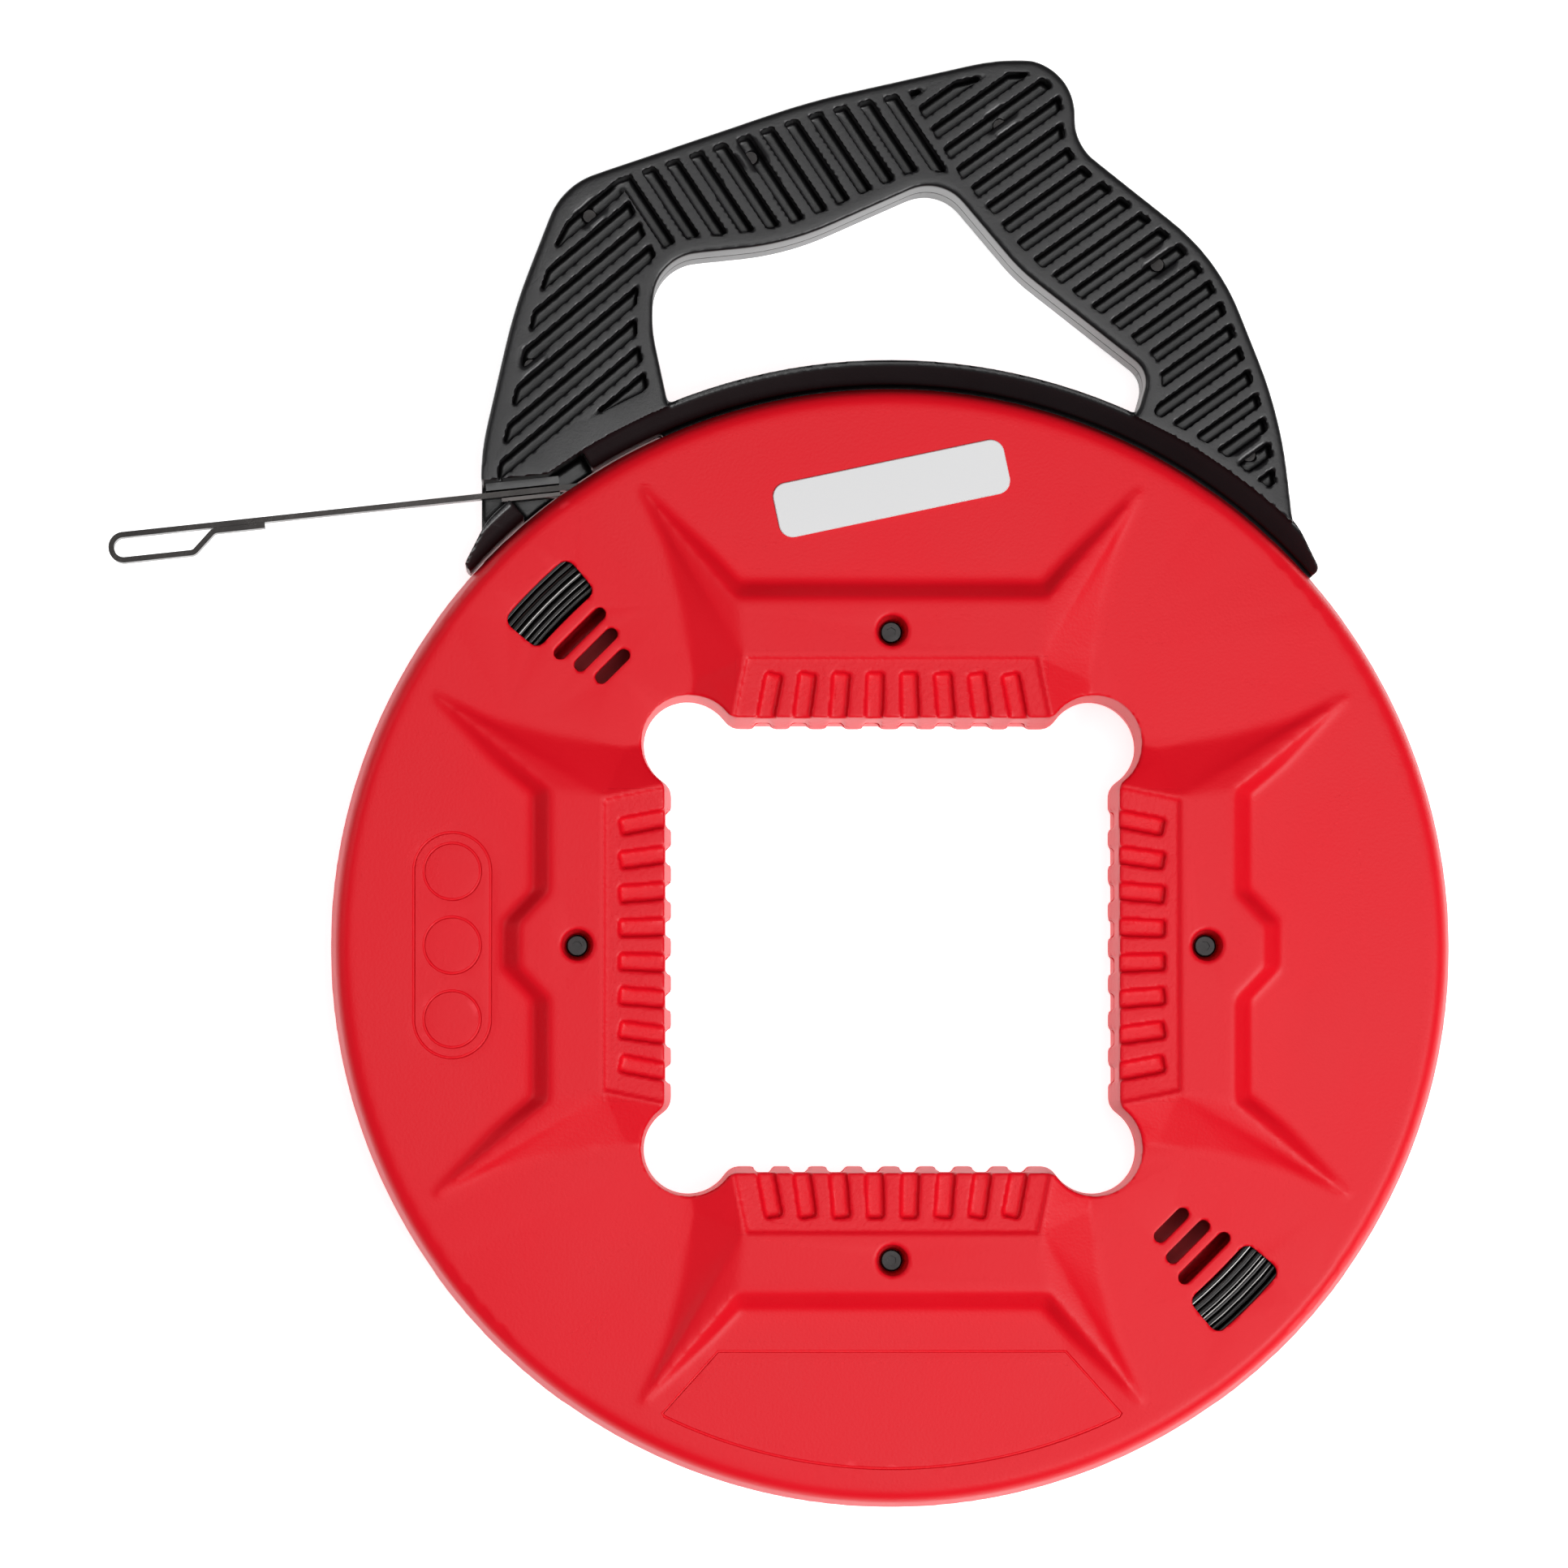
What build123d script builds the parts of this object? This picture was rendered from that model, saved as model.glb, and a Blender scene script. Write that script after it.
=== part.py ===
from build123d import *
import os
from math import atan2, cos, degrees, radians, sin, sqrt

# Fish tape reel: a round, hollow plastic reel that holds a long flat steel tape,
# with a handle whose curved saddle runs in a slot round the reel's rim.
# The reel lies on its back. Z is the reel's axis, Y points at the handle, and
# the origin is on the axis, in the plane that the rear raised pads rest on.

# ---- reel: overall ----
reel_r = 152.4            # outer radius at the rim
reel_thick = 49.0         # over the raised pads, front to back
pad_rise = 4.5            # height of a raised pad above the shell's face
wall = 2.5                # shell wall
rim_gap = 13.0            # open slot round the rim, between the two shells
rim_draft = 2.2           # how much the rim tapers in from slot to face
rim_round = 4.0           # round where the rim meets the face

# ---- reel: square opening in the middle ----
opening_half = 59.5       # axis to the tips of the finger ribs
lobe_place = 55.0         # centre of each corner lobe, along both axes
lobe_r = 12.0
lobe_blend = 5.0          # round between lobe and grip bar
opening_draft = 2.2       # how much the finger bars' walls lean back towards each face
lobe_draft = 1.1          # the same in the corner lobes

# ---- reel: raised pads, one on each side of the opening ----
pad_edge = 93.9           # axis to the outer edge of the top and bottom pads
side_pad_edge = 92.7      # the same on the left and right pads
pad_slope = 4.6           # width of the slope outside that edge
pad_half = 42.3           # half width at the outer edge
pad_foot_half = 41.0      # half width at the foot of the outer slope
side_foot_half = 52.0     # half width of the side slope's foot, at the opening
side_foot = ((53.5, 72.0), (57.0, 93.0), (62.3, 111.5))      # and on along the horn
horn_tip = (67.5, 123.5)     # tip of a pad's horn
horn_foot = (51.0, 109.0)    # foot of the slope along the horn's inner side
horn_rise = 0.5           # height of the tip above the shell's face
tip_width = 1.0
side_bump = 8.1           # outward bump on the left and right pads
side_bump_half = 6.0
side_bump_ramp = 8.6

# ---- reel: grip block and its finger pockets ----
block_edge = 78.3         # axis to the grip block's outer step
block_half = 39.5         # half width there
block_half_in = 43.7      # half width at the opening
block_margin = 0.8        # pad surface left beside the block
block_step = 0.7
pocket_count = 8
pocket_pitch = 9.9
pocket_width = 4.9
pocket_depth = 1.8
pocket_edge = 73.9        # axis to the pocket's closed end
pocket_pole = 240.0       # the pockets fan out from a point this far out

# ---- reel: windows, screws, marks, tape chamber ----
window_turn = 135.0       # direction of the first window group
window_in, window_out = 125.0, 137.3
window_half_angle = 5.1
window_round = 2.8
slot_rows = ((119.6, 18.6), (113.4, 15.3), (107.0, 12.0))   # radius and length
slot_width = 3.5
screw_circle = 85.2
screw_head_r = 3.0
screw_head_h = 2.2
screw_shank_r = 1.5
screw_length = 22.0
screw_depth = 9.0         # pad surface to the top of the head
bore_taper = 5.0          # the hole over a shell screw's head opens out, in degrees
pilot_extra = 1.0         # pilot hole beyond the screw's end
boss_r = 6.5
fit = 0.05                # gap round a screw's shank
seat_gap = 0.3            # gap round a screw's head
mark_width = 0.7
mark_depth = 0.4
mark_place = 119.0        # axis to the middle of the stadium mark
mark_length, mark_height = 61.0, 21.5
ring_r = 8.0
ring_pitch = 20.0
panel_top = 109.5         # axis to the straight edge of the blank panel
panel_half = 47.0
panel_side_half, panel_side = 62.5, 126.5
panel_arc = 141.8
badge_place = 124.0
badge_length, badge_height, badge_thick = 64.0, 15.0, 0.6
badge_tilt = 12.0
chamber_wall_r = 124.0    # outer radius of the ring wall inside the tape coil

# ---- tape ----
tape_width = 6.35
tape_thick = 1.5
coil_in, coil_out = 125.6, 140.0
coil_lanes = 5
coil_side_gap = 1.4       # coil to the shell's inside, on each side
lead_lane_r = 132.8       # the middle lane is unwound to this radius
lead_lane_gap = 0.6
lead_r = 134.3            # radius that the straight lead is tangent to
lead_turn = 6.2           # slope of the lead, degrees
lead_out = 128.0          # rim to the tip of the eye
lead_in = 26.0            # rim to the lead's inner end
eye_length = 43.0
eye_height = 8.4
eye_tail = 14.0
eye_ramp = 6.0
clip_length, clip_height, clip_thick = 16.0, 12.0, 1.1
clip_screw_r = 1.2
clip_screw_head_r, clip_screw_head_h = 2.6, 1.6
clip_drop = 3.0           # middle plane to the clip's upper edge
clip_round = 2.0
head_round = 0.5          # round on a screw head's rim
socket_size, socket_depth = 0.45, 0.6       # socket, as parts of the head's radius and height

# ---- handle ----
handle_thick = 34.0
saddle_thick = 31.0
saddle_gap = 0.8          # rim to saddle
saddle_height = 6.3
saddle_lip = 1.3          # lip left at the outer edge of the dished saddle
saddle_dish = 6.5
saddle_start, saddle_end = 41.3, 122.0      # degrees round the axis
tip_taper = 4.8           # degrees over which the saddle's ends taper off
tip_height = 2.4          # height left at the very end
tip_round, taper_round = 1.8, 20.0
overlap = 1.0             # how far joined bodies run into each other
shoe_start, shoe_end = 130.5, 138.3         # the saddle's end beyond the tape exit
web_gap = 0.5             # web to shell, at each side of the rim slot
hook_thick = 4.3
hook_half = 12.5          # half height of the hook that holds the web in the slot
hook_gap = 1.0            # hook to the inside of the rim
hook_end = 114.0
border_out, border_in = 3.4, 4.4      # plain wall round the handle's pockets
border_foot = 2.0         # saddle to the pockets
cell_depth = 11.0
exit_up = 3.2             # room above the tape at its exit
exit_floor = 4.0          # middle plane to the exit's floor
guide_start, guide_end = 4.0, 24.0          # along the tape, from the rim
guide_gap = 0.45
plate_thick = 1.0
plate_end = 20.0
handle_screw_r = 1.75
handle_screw_head_r = 3.5
handle_screw_head_h = 2.6
handle_boss_r = 5.6
handle_screw_sink = 2.0   # rear face to the top of the head
handle_screw_skin = 11.0  # screw's end to the front face

handle_screw_places = ((-98, 6), (-82, 47), (-38, 63), (30, 72), (73, 34), (98, -18))
# Rows of cells: heading, pitch, width, first place, count, and the zone they fill.
# Places are from the top of the rim, and so are the handle's outlines below.
cell_zones = (
    (40, 6.4, 3.8, (-82.6, 46.7), 9, (
        (-107, -27), (-106.3, -20), (-97, 21), (-91, 39), (-83, 54),
        (-74.5, 57), (-64.3, 36), (-66, -1), (-80, -8), (-92, -15.5),
    )),
    (123.5, 6.6, 3.6, (-66.8, 47.9), 12, ((-79, 66), (-62, 28), (30, 52), (10, 100))),
    (35.5, 6.48, 3.6, (16.7, 88.3), 23, (
        (-6, 98), (4.5, 80.5), (20, 55.5), (20, 0), (40, -90), (130, -90), (130, 100),
    )),
)
# Corners of the handle's outer outline and of its hand opening, each with the
# radius that rounds it; the first and last points are the ends of the outline.
outer_corners = (
    ((-111.4, -75), 0), ((-111.4, -18), 60), ((-102.5, 21), 150), ((-89.5, 54.5), 20),
    ((-22, 77.6), 200), ((31, 89.6), 60), ((50.4, 87.8), 15), ((50, 66), 14),
    ((89, 35), 60), ((106, -8), 120), ((109.4, -38), 60),
    ((109.6, -75), 0),
)
inner_corners = (
    ((-57, -22), 0), ((-65.2, 16), 40), ((-63.8, 34.8), 13), ((-28, 38.5), 80),
    ((13.5, 57), 12), ((35, 31.5), 50), ((70.3, 3.8), 7), ((67.3, -6.5), 6), ((54, -24), 0),
)
exit_inset, exit_reach = -1.0, 75.0     # the tape's exit slot, along the tape

# ---- derived ----
mid = reel_thick / 2
face = mid - pad_rise                 # middle plane to a shell's plain face
inside = face - wall
pad_hollow = pad_rise - block_step - pocket_depth     # height of the hollow in a pad
rim_in = reel_r - wall
saddle_in = reel_r + saddle_gap
saddle_out = saddle_in + saddle_height
hook_in = rim_in - hook_gap - hook_thick
coil_half = coil_lanes * tape_width / 2
rim_exit = sqrt(reel_r**2 - lead_r**2)     # along the lead, from its foot to the rim
far = 3 * reel_r                      # well outside everything

os.makedirs("parts", exist_ok=True)


def save(piece, name):
    """Labels one finished piece and writes it as its own file."""
    piece.part.label = name
    export_step(piece.part, "parts/" + name + ".step")


def shell_plane(side, height, turn=0.0):
    """Plane over one shell: side 1 is the front, -1 the rear; height is from the
    middle plane, and turn swings its X axis round the reel."""
    along = (cos(radians(turn)), sin(radians(turn)), 0)
    return Plane(origin=(0, 0, mid + side * height), x_dir=along, z_dir=(0, 0, side))


def section_plane(side):
    """Plane through the axis: X is the radius, Y the height from the middle plane."""
    return Plane(origin=(0, 0, mid), x_dir=(1, 0, 0), z_dir=(0, -side, 0))


def opening_sketch(grow, lobe_grow):
    """The square opening, grown outwards by grow, with its corner lobes."""
    with BuildSketch(mode=Mode.PRIVATE) as sketch:
        Rectangle(2 * (opening_half + grow), 2 * (opening_half + grow))
        with GridLocations(2 * lobe_place, 2 * lobe_place, 2, 2):
            Circle(lobe_r + lobe_grow)
        side_line = opening_half + grow
        corners = [v for v in sketch.vertices() if abs(max(abs(v.X), abs(v.Y)) - side_line) < 0.01]
        fillet(corners, max(lobe_blend - grow, lobe_blend / 4))
    return sketch.sketch


def pad_line(bump):
    """Axis to the outer edge of a pad, apart from its bump."""
    return side_pad_edge if bump else pad_edge


def pad_edge_points(grow, bump):
    """Right half of the pad's outer edge, moved outwards by grow."""
    edge = pad_line(bump) + grow
    if not bump:
        return [(0, edge)]
    return [
        (0, edge + side_bump),
        (side_bump_half, edge + side_bump),
        (side_bump_half + side_bump_ramp, edge),
    ]


def hollow_sketch(bump):
    """The hollow under a pad: its outline less the wall, mirrored across Y."""
    with BuildSketch(mode=Mode.PRIVATE) as sketch:
        with BuildLine():
            Polyline(
                (0, opening_half - lobe_blend),
                *pad_edge_points(-wall, bump),
                (pad_half - wall, pad_line(bump) - wall),
                (block_half - 2 * wall, block_edge),
                (block_half_in - 2 * wall, opening_half - lobe_blend),
                close=True,
            )
        make_face()
        mirror(about=Plane.YZ)
    return sketch.sketch


def half_pad(bump):
    """Right half of a raised pad with its horn, as a solid with flat faces.
    X runs along the opening, Y outwards from the axis, Z up from the plain face."""
    near = opening_half - lobe_blend
    base = -wall / 2
    reach = 1 - base / pad_rise           # carries a slope on, down to the base

    def sunk(above, place):
        return above + (Vector(*place, 0) - above) * reach

    edge_top = [Vector(*place, pad_rise) for place in pad_edge_points(0, bump)]
    edge_foot = [
        sunk(above, place) for above, place in zip(edge_top, pad_edge_points(pad_slope, bump))
    ]
    corner = Vector(pad_half, pad_line(bump), pad_rise)
    corner_foot = sunk(corner, (pad_foot_half, pad_line(bump) + pad_slope))
    inner_foot = sunk(corner, horn_foot)
    tip = Vector(*horn_tip, horn_rise)
    tip_foot = Vector(horn_tip[0] + tip_width, horn_tip[1] + tip_width, base)
    neck = Vector(block_half + block_margin, block_edge - block_margin, pad_rise)
    near_foot, middle_foot, far_foot = [sunk(neck, place) for place in side_foot]
    end = Vector(block_half_in + block_margin, near, pad_rise)
    end_foot = sunk(end, (side_foot_half, near))
    middle = Vector(0, near, pad_rise)
    middle_base = Vector(0, near, base)

    tops = edge_top + [corner]
    foots = edge_foot + [corner_foot]
    outlines = [
        (*tops, neck, end, middle),
        (corner, tip, neck),
        (corner, corner_foot, inner_foot),
        (corner, inner_foot, tip),
        (tip, inner_foot, tip_foot),
        (tip, tip_foot, far_foot),
        (tip, far_foot, neck),
        (neck, far_foot, middle_foot),
        (neck, middle_foot, near_foot),
        (neck, near_foot, end),
        (end, near_foot, end_foot),
        (end, end_foot, middle_base, middle),
        (middle, middle_base, foots[0], tops[0]),
        (*foots, inner_foot, tip_foot, far_foot, middle_foot, near_foot, end_foot, middle_base),
    ]
    for index in range(len(tops) - 1):
        outlines.append((tops[index], foots[index], foots[index + 1], tops[index + 1]))
    return Solid(Shell([Face(Wire.make_polygon(outline)) for outline in outlines]))


def make_pad(bump):
    """A whole raised pad: its right half and the mirror of it."""
    with BuildPart() as pad:
        add(half_pad(bump))
        mirror(about=Plane.YZ)
    return pad.part


def grip_sketch(outline):
    """One outline from each side of the opening, all four sides in one sketch."""
    with BuildSketch(mode=Mode.PRIVATE) as sketch:
        with PolarLocations(0, 4):
            add(outline)
    return sketch.sketch


def block_sketch():
    """The grip block: a trapezoid from its outer step in to the opening."""
    reach = opening_half - lobe_blend
    with BuildSketch(mode=Mode.PRIVATE) as sketch:
        with BuildLine():
            Polyline(
                (-block_half_in - block_margin, reach),
                (-block_half, block_edge),
                (block_half, block_edge),
                (block_half_in + block_margin, reach),
                close=True,
            )
        make_face()
    return sketch.sketch


def pocket_sketch():
    """The finger pockets of one block, fanned out from a far point."""
    reach = opening_half - lobe_blend
    length = pocket_edge - reach
    with BuildSketch(mode=Mode.PRIVATE) as sketch:
        for index in range(pocket_count):
            place = (index - (pocket_count - 1) / 2) * pocket_pitch
            lean = degrees(atan2(place, pocket_pole - opening_half))
            with Locations(Location((place, opening_half), lean)):
                with Locations((0, length / 2 - lobe_blend)):
                    Rectangle(pocket_width, length)
    return sketch.sketch


def notch_sketch():
    """Where the finger pockets run down the opening's wall."""
    reach = opening_half - lobe_blend
    with BuildSketch(mode=Mode.PRIVATE) as sketch:
        with Locations((0, (reach + opening_half + pocket_depth) / 2)):
            with GridLocations(pocket_pitch, 1, pocket_count, 1):
                Rectangle(pocket_width, opening_half + pocket_depth - reach)
    return sketch.sketch


def window_sketch():
    """One group of windows: a large one over the tape, and three slots."""
    middle = (window_in + window_out) / 2
    with BuildSketch(mode=Mode.PRIVATE) as sketch:
        with BuildLine():
            CenterArc((0, 0), window_out, -window_half_angle, 2 * window_half_angle)
            CenterArc((0, 0), window_in, -window_half_angle, 2 * window_half_angle)
            for hand in (1, -1):
                swing = radians(window_half_angle * hand)
                Line(
                    (window_in * cos(swing), window_in * sin(swing)),
                    (window_out * cos(swing), window_out * sin(swing)),
                )
        make_face()
        fillet(sketch.vertices(), window_round)
        for row_r, row_length in slot_rows:
            with Locations((row_r, 0)):
                SlotOverall(row_length, slot_width, rotation=90)
    return sketch.sketch


pads = (make_pad(bump=False), make_pad(bump=True))


def make_shell(side):
    """One half of the reel, as a closed moulding with ribs, bosses and windows."""
    with BuildPart() as shell:
        with BuildSketch(section_plane(side)) as profile:
            with BuildLine():
                Polyline(
                    (0, 0),
                    (rim_in - wall, 0),
                    (rim_in - wall, rim_gap / 2),
                    (reel_r, rim_gap / 2),
                    (reel_r - rim_draft, face),
                    (0, face),
                    close=True,
                )
            make_face()
            fillet(profile.vertices().sort_by_distance((reel_r - rim_draft, face, 0))[0], rim_round)
        revolve(axis=Axis.Z)
        for quarter in range(4):
            with Locations(shell_plane(side, face, 90 * quarter)):
                add(pads[quarter % 2])
        with BuildSketch(shell_plane(side, 0)):
            Circle(rim_in)
            add(opening_sketch(opening_draft + wall, lobe_draft + wall), mode=Mode.SUBTRACT)
        extrude(amount=inside, mode=Mode.SUBTRACT)
        for quarter in range(4):
            with BuildSketch(shell_plane(side, inside, 90 * quarter)):
                add(hollow_sketch(bump=quarter % 2 == 1))
                add(opening_sketch(opening_draft + wall, lobe_draft + wall), mode=Mode.SUBTRACT)
            extrude(amount=pad_hollow, mode=Mode.SUBTRACT)
        with BuildSketch(shell_plane(side, 0)):
            add(opening_sketch(0, 0))
        with BuildSketch(shell_plane(side, mid)):
            add(opening_sketch(opening_draft, lobe_draft))
        loft(ruled=True, mode=Mode.SUBTRACT)
        with BuildSketch(shell_plane(side, mid)):
            add(grip_sketch(block_sketch()))
        extrude(amount=-block_step, mode=Mode.SUBTRACT)
        with BuildSketch(shell_plane(side, mid)):
            add(grip_sketch(pocket_sketch()))
        extrude(amount=-block_step - pocket_depth, mode=Mode.SUBTRACT)
        with BuildSketch(shell_plane(side, 0)):
            add(grip_sketch(notch_sketch()))
        extrude(amount=mid, mode=Mode.SUBTRACT)
        with BuildSketch(shell_plane(side, 0)):
            Circle(chamber_wall_r)
            Circle(chamber_wall_r - wall, mode=Mode.SUBTRACT)
        extrude(amount=inside)
        with BuildSketch(shell_plane(side, 0)):
            with PolarLocations(screw_circle, 4):
                Circle(boss_r)
        extrude(amount=inside + pad_hollow)
        with BuildSketch(shell_plane(side, 0)):
            for turn in (window_turn, window_turn + 180):
                with Locations(Location((0, 0), turn)):
                    add(window_sketch())
        extrude(amount=mid, mode=Mode.SUBTRACT)
        head_seat = mid - screw_depth - screw_head_h
        with BuildSketch(shell_plane(side, 0)):
            with PolarLocations(screw_circle, 4):
                Circle(screw_shank_r + fit)
        if side > 0:
            extrude(amount=mid, mode=Mode.SUBTRACT)
            with BuildSketch(shell_plane(side, head_seat)):
                with PolarLocations(screw_circle, 4):
                    Circle(screw_head_r + seat_gap)
            extrude(amount=mid - head_seat, taper=-bore_taper, mode=Mode.SUBTRACT)
        else:
            extrude(amount=screw_length - head_seat + pilot_extra, mode=Mode.SUBTRACT)
    return shell


def cut_marks():
    """Sinks the stadium mark, its three rings and the blank panel's border."""
    with BuildSketch(shell_plane(1, face)) as marks:
        with Locations((-mark_place, 0)):
            SlotOverall(mark_length, mark_height, rotation=90)
            SlotOverall(
                mark_length - 2 * mark_width,
                mark_height - 2 * mark_width,
                rotation=90,
                mode=Mode.SUBTRACT,
            )
        with Locations(*[(-mark_place, ring_pitch * row) for row in (-1, 0, 1)]):
            Circle(ring_r)
            Circle(ring_r - mark_width, mode=Mode.SUBTRACT)
        add(panel_sketch(0))
        add(panel_sketch(-mark_width), mode=Mode.SUBTRACT)
    extrude(marks.sketch, amount=-mark_depth, mode=Mode.SUBTRACT)


def panel_sketch(grow):
    """The blank panel: straight towards the opening, round along the rim."""
    with BuildSketch(mode=Mode.PRIVATE) as sketch:
        with BuildLine():
            Polyline(
                (-panel_side_half - grow, -panel_side),
                (-panel_half - grow / 2, -panel_top + grow),
                (panel_half + grow / 2, -panel_top + grow),
                (panel_side_half + grow, -panel_side),
            )
            ThreePointArc(
                (-panel_side_half - grow, -panel_side),
                (0, -panel_arc - grow),
                (panel_side_half + grow, -panel_side),
            )
        make_face()
    return sketch.sketch


def tape_plane(height, start=0.0):
    """Plane along the straight lead, height above the middle plane. X runs out along
    the tape from where it leaves the rim, and Y points towards the reel's axis."""
    out = Vector(-cos(radians(lead_turn)), -sin(radians(lead_turn)), 0)
    foot = Vector(-lead_r * sin(radians(lead_turn)), lead_r * cos(radians(lead_turn)), mid + height)
    return Plane(origin=foot + out * (rim_exit + start), x_dir=out, z_dir=(0, 0, 1))


def ring_sector(inner, outer, start, end):
    """Part of a ring round the reel's axis, between two directions in degrees."""
    with BuildSketch(mode=Mode.PRIVATE) as sketch:
        Circle(outer)
        Circle(inner, mode=Mode.SUBTRACT)
        with BuildLine():
            middle = radians((start + end) / 2)
            Polyline(
                (0, 0),
                (far * cos(radians(start)), far * sin(radians(start))),
                (far * 2 * cos(middle), far * 2 * sin(middle)),
                (far * cos(radians(end)), far * sin(radians(end))),
                close=True,
            )
        make_face(mode=Mode.INTERSECT)
    return sketch.sketch


def round_point(radius, turn):
    """A point at a radius and a direction in degrees."""
    return (radius * cos(radians(turn)), radius * sin(radians(turn)))


def saddle_sketch(start, end, tip, hand):
    """Part of the saddle's ring. Its end at direction tip tapers off; hand is 1 if
    the ring runs on from there to larger angles, and -1 if to smaller ones."""
    tip_top = round_point(saddle_in + tip_height, tip)
    taper_top = round_point(saddle_out, tip + hand * tip_taper)
    beyond = saddle_out + saddle_height
    with BuildSketch(mode=Mode.PRIVATE) as sketch:
        add(ring_sector(saddle_in, saddle_out, start, end))
        with BuildLine():
            Polyline(
                tip_top,
                taper_top,
                round_point(beyond, tip + hand * tip_taper),
                round_point(beyond, tip - hand * tip_taper),
                round_point(saddle_in + tip_height, tip - hand * tip_taper),
                close=True,
            )
        make_face(mode=Mode.SUBTRACT)
        for place, radius in ((tip_top, tip_round), (taper_top, taper_round)):
            fillet(sketch.vertices().sort_by_distance((*place, 0))[0], radius)
    return sketch.sketch


def above_rim(points):
    """Points given from the top of the rim, as points from the axis."""
    return [(x, y + reel_r) for x, y in points]


def rounded_outline(corners, grow):
    """A closed outline from corners and their radii, grown outwards by grow."""
    with BuildSketch(mode=Mode.PRIVATE) as sketch:
        with BuildLine():
            places = above_rim([place for place, _ in corners])
            FilletPolyline(*places, radius=[r for _, r in corners], close=True)
        make_face()
        if grow:
            offset(amount=grow, kind=Kind.INTERSECTION)
    return sketch.sketch


def stripes(heading, pitch, width, start, count):
    """A row of long bars that cross the line from start, square to their heading."""
    across = heading - 90
    with BuildSketch(mode=Mode.PRIVATE) as sketch:
        for index in range(count):
            x = start[0] + index * pitch * cos(radians(across))
            y = start[1] + reel_r + index * pitch * sin(radians(across))
            with Locations(Location((x, y), heading)):
                Rectangle(2 * reel_r, width)
    return sketch.sketch


def cell_sketch():
    """The pockets in the grip's face: three rows of slanted cells inside a plain wall."""
    with BuildSketch(mode=Mode.PRIVATE) as sketch:
        for heading, pitch, width, start, count, zone in cell_zones:
            with BuildSketch(mode=Mode.PRIVATE) as row:
                add(stripes(heading, pitch, width, start, count))
                with BuildLine():
                    Polyline(*above_rim(zone), close=True)
                make_face(mode=Mode.INTERSECT)
            add(row.sketch)
        add(rounded_outline(outer_corners, -border_out), mode=Mode.INTERSECT)
        add(rounded_outline(inner_corners, border_in), mode=Mode.SUBTRACT)
        Circle(saddle_out + border_foot, mode=Mode.SUBTRACT)
    return sketch.sketch


def make_handle(side):
    """One half of the handle, with its half of the saddle, web and hook."""
    with BuildPart() as half:
        with BuildSketch(Plane.XY.offset(mid)):
            add(rounded_outline(outer_corners, 0))
            add(rounded_outline(inner_corners, 0), mode=Mode.SUBTRACT)
        extrude(amount=side * handle_thick / 2)
        with BuildSketch(Plane.XY.offset(mid)):
            Circle(saddle_out - overlap)
        extrude(amount=side * handle_thick, mode=Mode.SUBTRACT)
        with BuildSketch(Plane.XY.offset(mid)):
            add(saddle_sketch(saddle_start, saddle_end, saddle_start, 1))
        extrude(amount=side * saddle_thick / 2)
        with BuildSketch(Plane.XY.offset(mid)):
            add(ring_sector(hook_in, saddle_in + overlap, saddle_start, hook_end))
        extrude(amount=side * (rim_gap / 2 - web_gap))
        with BuildSketch(Plane.XY.offset(mid)):
            add(ring_sector(hook_in, hook_in + hook_thick, saddle_start, hook_end))
        extrude(amount=side * hook_half)
        with BuildSketch(Plane.XY.offset(mid + side * handle_thick / 2)):
            add(cell_sketch())
            if side < 0:
                with Locations(*above_rim(handle_screw_places)):
                    Circle(handle_boss_r, mode=Mode.SUBTRACT)
        extrude(amount=-side * cell_depth, mode=Mode.SUBTRACT)
        with BuildSketch(tape_plane(-exit_floor)):
            with Locations((exit_reach / 2 + exit_inset, far / 2 - exit_up)):
                Rectangle(exit_reach, far)
        extrude(amount=far, mode=Mode.SUBTRACT)
        if side > 0:
            with BuildSketch(tape_plane(0)):
                with Locations((exit_reach / 2 + exit_inset, far / 2 - exit_up)):
                    Rectangle(exit_reach, far)
            extrude(amount=far, both=True, mode=Mode.SUBTRACT)
        if side < 0:
            with BuildSketch(Plane.XY.offset(mid - saddle_thick / 2)):
                add(saddle_sketch(saddle_end, shoe_end, shoe_end, -1))
            extrude(amount=saddle_thick / 2 - exit_floor)
            with BuildSketch(Plane.XY.offset(mid - saddle_thick / 2)):
                add(saddle_sketch(shoe_start, shoe_end, shoe_end, -1))
            extrude(amount=saddle_thick)
        for direction in (1, -1):
            with BuildSketch(section_plane(direction)):
                with BuildLine():
                    Polyline(
                        (saddle_in - wall, saddle_thick / 2 - saddle_dish),
                        (saddle_out - saddle_lip, saddle_thick / 2),
                        (saddle_out - saddle_lip, mid),
                        (saddle_in - wall, mid),
                        close=True,
                    )
                make_face()
            revolve(axis=Axis.Z, mode=Mode.SUBTRACT)
        with BuildSketch(Plane.XY.offset(mid)):
            with Locations(*above_rim(handle_screw_places)):
                Circle(handle_screw_r + fit)
        extrude(amount=side * (handle_thick / 2 - handle_screw_skin + pilot_extra), mode=Mode.SUBTRACT)
    return half


front_shell = make_shell(1)
with front_shell:
    cut_marks()
save(front_shell, "front_shell")

rear_shell = make_shell(-1)
anchor_plane = Plane(origin=(0, 0, mid), x_dir=(1, 0, 0), z_dir=(0, -1, 0))
anchor_height = -clip_height / 2 - clip_drop
with rear_shell:
    with BuildSketch(anchor_plane.offset(chamber_wall_r - wall - overlap)) as anchor_hole:
        with Locations((0, anchor_height)):
            Circle(clip_screw_r + fit)
    extrude(anchor_hole.sketch, amount=wall + 2 * overlap, mode=Mode.SUBTRACT)
save(rear_shell, "rear_shell")

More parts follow.
